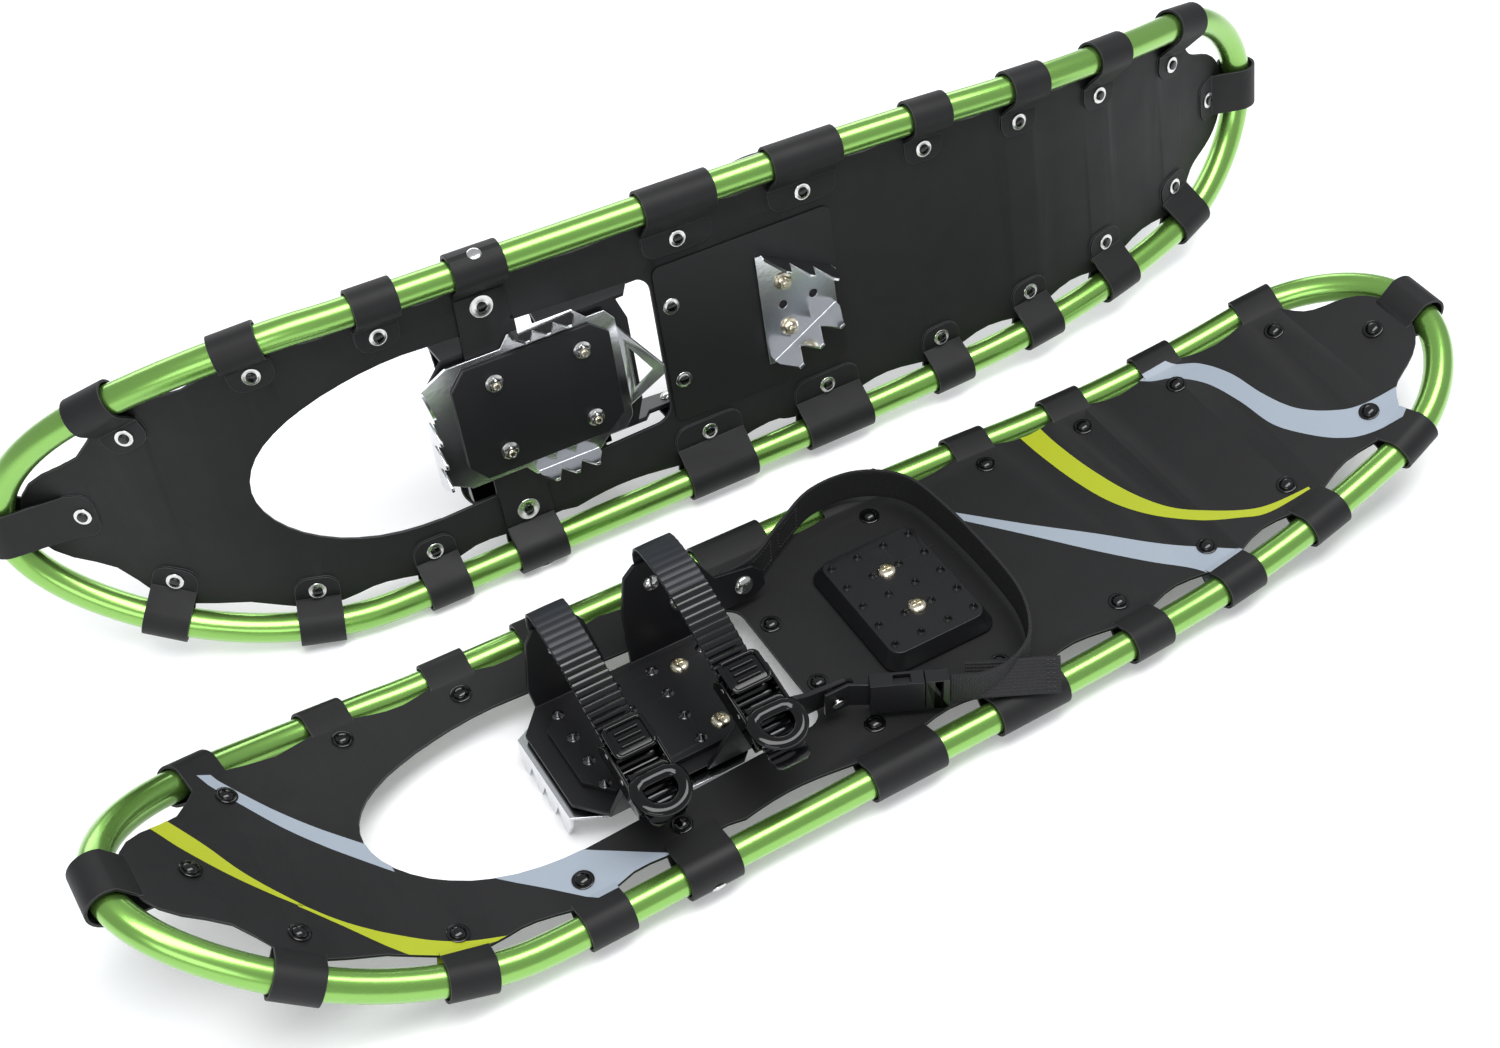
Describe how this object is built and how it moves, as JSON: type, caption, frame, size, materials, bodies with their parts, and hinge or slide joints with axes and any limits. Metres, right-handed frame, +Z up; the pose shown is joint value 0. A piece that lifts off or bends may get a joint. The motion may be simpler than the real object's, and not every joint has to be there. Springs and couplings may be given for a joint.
{
  "type": "snowshoes",
  "caption": "Tube-framed snowshoes with laced-on decks, pivoting ratchet bindings and toothed crampons; one lies on its teeth, its mate stands on its rail behind.",
  "frame": {"origin": "middle of the pair's footprint, on the ground that both shoes stand on", "axes": "+X from toe to tail of both shoes, +Y from the lying shoe towards the standing one, +Z up"},
  "size_m": [0.954, 0.4213, 0.2326],
  "materials": {
    "frame_green": "glossy anodised",
    "deck_black": "satin with printed stripes",
    "strap_rubber": "matte",
    "harness_black": "satin",
    "binding_black": "satin moulded",
    "buckle_black": "glossy",
    "ladder_grey": "satin ribbed",
    "rivet_black": "glossy",
    "hardware_steel": "plated",
    "crampon_metal": "bright rolled",
    "webbing_black": "woven"
  },
  "bodies": {
    "left_frame": {"left_frame_tube": "frame_green", "left_deck": "deck_black", "left_deck_doubler": "deck_black", "left_deck_rivets": "rivet_black", "left_rivet_washers": "hardware_steel", "left_pivot_strap": "strap_rubber", "left_strap_rivets": "hardware_steel", "left_heel_pad": "binding_black", "left_heel_crampon": "crampon_metal", "left_heel_bolts": "hardware_steel"},
    "left_binding": {"left_toe_crampon": "crampon_metal", "left_harness": "harness_black", "left_toe_plate": "binding_black", "left_under_plate": "binding_black", "left_binding_bolts": "hardware_steel", "left_binding_nuts": "hardware_steel", "left_harness_rivets": "hardware_steel", "left_toe_ladder": "ladder_grey", "left_instep_ladder": "ladder_grey", "left_toe_buckle_base": "buckle_black", "left_toe_buckle_pins": "hardware_steel", "left_instep_buckle_base": "buckle_black", "left_instep_buckle_pins": "hardware_steel", "left_heel_strap": "webbing_black", "left_heel_buckle_socket": "buckle_black"},
    "left_toe_lever": {"left_toe_buckle_lever": "buckle_black"},
    "left_toe_release": {"left_toe_buckle_release": "buckle_black"},
    "left_instep_lever": {"left_instep_buckle_lever": "buckle_black"},
    "left_instep_release": {"left_instep_buckle_release": "buckle_black"},
    "left_heel_plug": {"left_heel_buckle_plug": "buckle_black"},
    "right_frame": {"right_frame_tube": "frame_green", "right_deck": "deck_black", "right_deck_doubler": "deck_black", "right_deck_rivets": "rivet_black", "right_rivet_washers": "hardware_steel", "right_pivot_strap": "strap_rubber", "right_strap_rivets": "hardware_steel", "right_heel_pad": "binding_black", "right_heel_crampon": "crampon_metal", "right_heel_bolts": "hardware_steel"},
    "right_binding": {"right_toe_crampon": "crampon_metal", "right_harness": "harness_black", "right_toe_plate": "binding_black", "right_under_plate": "binding_black", "right_binding_bolts": "hardware_steel", "right_binding_nuts": "hardware_steel", "right_harness_rivets": "hardware_steel", "right_toe_ladder": "ladder_grey", "right_instep_ladder": "ladder_grey", "right_toe_buckle_base": "buckle_black", "right_toe_buckle_pins": "hardware_steel", "right_instep_buckle_base": "buckle_black", "right_instep_buckle_pins": "hardware_steel", "right_heel_strap": "webbing_black", "right_heel_buckle_socket": "buckle_black"},
    "right_toe_lever": {"right_toe_buckle_lever": "buckle_black"},
    "right_toe_release": {"right_toe_buckle_release": "buckle_black"},
    "right_instep_lever": {"right_instep_buckle_lever": "buckle_black"},
    "right_instep_release": {"right_instep_buckle_release": "buckle_black"},
    "right_heel_plug": {"right_heel_buckle_plug": "buckle_black"}
  },
  "joints": [
    {"name": "right_shoe_lift", "type": "slide", "parent": "left_frame", "child": "right_frame", "axis": [0, 0, 1], "range_m": [0, 0.3]},
    {"name": "left_binding_pivot", "type": "hinge", "parent": "left_frame", "child": "left_binding", "pos_m": [-0.1643, -0.0931, 0.02445], "axis": [0, -1, 0], "range_deg": [0, 38], "stiffness_Nm_per_rad": 0.5, "springref_deg": -11.46, "deforming": ["left_pivot_strap"]},
    {"name": "left_toe_lever", "type": "hinge", "parent": "left_binding", "child": "left_toe_lever", "pos_m": [-0.1753, -0.15266, 0.06689], "axis": [-1, 0, 0], "range_deg": [0, 75], "stiffness_Nm_per_rad": 0.05, "springref_deg": -20.05},
    {"name": "left_toe_release", "type": "hinge", "parent": "left_binding", "child": "left_toe_release", "pos_m": [-0.1753, -0.13516, 0.07112], "axis": [1, 0, 0], "range_deg": [0, 20], "stiffness_Nm_per_rad": 0.03, "springref_deg": -20.05},
    {"name": "left_instep_lever", "type": "hinge", "parent": "left_binding", "child": "left_instep_lever", "pos_m": [-0.1023, -0.15666, 0.08039], "axis": [-1, 0, 0], "range_deg": [0, 75], "stiffness_Nm_per_rad": 0.05, "springref_deg": -20.05},
    {"name": "left_instep_release", "type": "hinge", "parent": "left_binding", "child": "left_instep_release", "pos_m": [-0.1023, -0.13916, 0.08462], "axis": [1, 0, 0], "range_deg": [0, 20], "stiffness_Nm_per_rad": 0.03, "springref_deg": -20.05},
    {"name": "left_heel_plug", "type": "slide", "parent": "left_binding", "child": "left_heel_plug", "axis": [0.8988, -0.4384, 0], "range_m": [0, 0.025], "deforming": ["left_heel_strap"]},
    {"name": "right_binding_pivot", "type": "hinge", "parent": "right_frame", "child": "right_binding", "pos_m": [-0.12933, 0.10701, 0.11542], "axis": [0.0067, 0.1735, 0.9848], "range_deg": [0, 38], "stiffness_Nm_per_rad": 0.5, "springref_deg": -11.46, "deforming": ["right_pivot_strap"]},
    {"name": "right_toe_lever", "type": "hinge", "parent": "right_binding", "child": "right_toe_lever", "pos_m": [-0.13911, 0.13886, 0.04939], "axis": [0.9993, -0.0384, 0], "range_deg": [0, 75], "stiffness_Nm_per_rad": 0.05, "springref_deg": -20.05},
    {"name": "right_toe_release", "type": "hinge", "parent": "right_binding", "child": "right_toe_release", "pos_m": [-0.13883, 0.14607, 0.0659], "axis": [-0.9993, 0.0384, 0], "range_deg": [0, 20], "stiffness_Nm_per_rad": 0.03, "springref_deg": -20.05},
    {"name": "right_instep_lever", "type": "hinge", "parent": "right_binding", "child": "right_instep_lever", "pos_m": [-0.06568, 0.14865, 0.04311], "axis": [0.9993, -0.0384, 0], "range_deg": [0, 75], "stiffness_Nm_per_rad": 0.05, "springref_deg": -20.05},
    {"name": "right_instep_release", "type": "hinge", "parent": "right_binding", "child": "right_instep_release", "pos_m": [-0.0654, 0.15585, 0.05961], "axis": [-0.9993, 0.0384, 0], "range_deg": [0, 20], "stiffness_Nm_per_rad": 0.03, "springref_deg": -20.05},
    {"name": "right_heel_plug", "type": "slide", "parent": "right_binding", "child": "right_heel_plug", "axis": [0.8952, -0.1106, -0.4317], "range_m": [0, 0.025], "deforming": ["right_heel_strap"]}
  ]
}
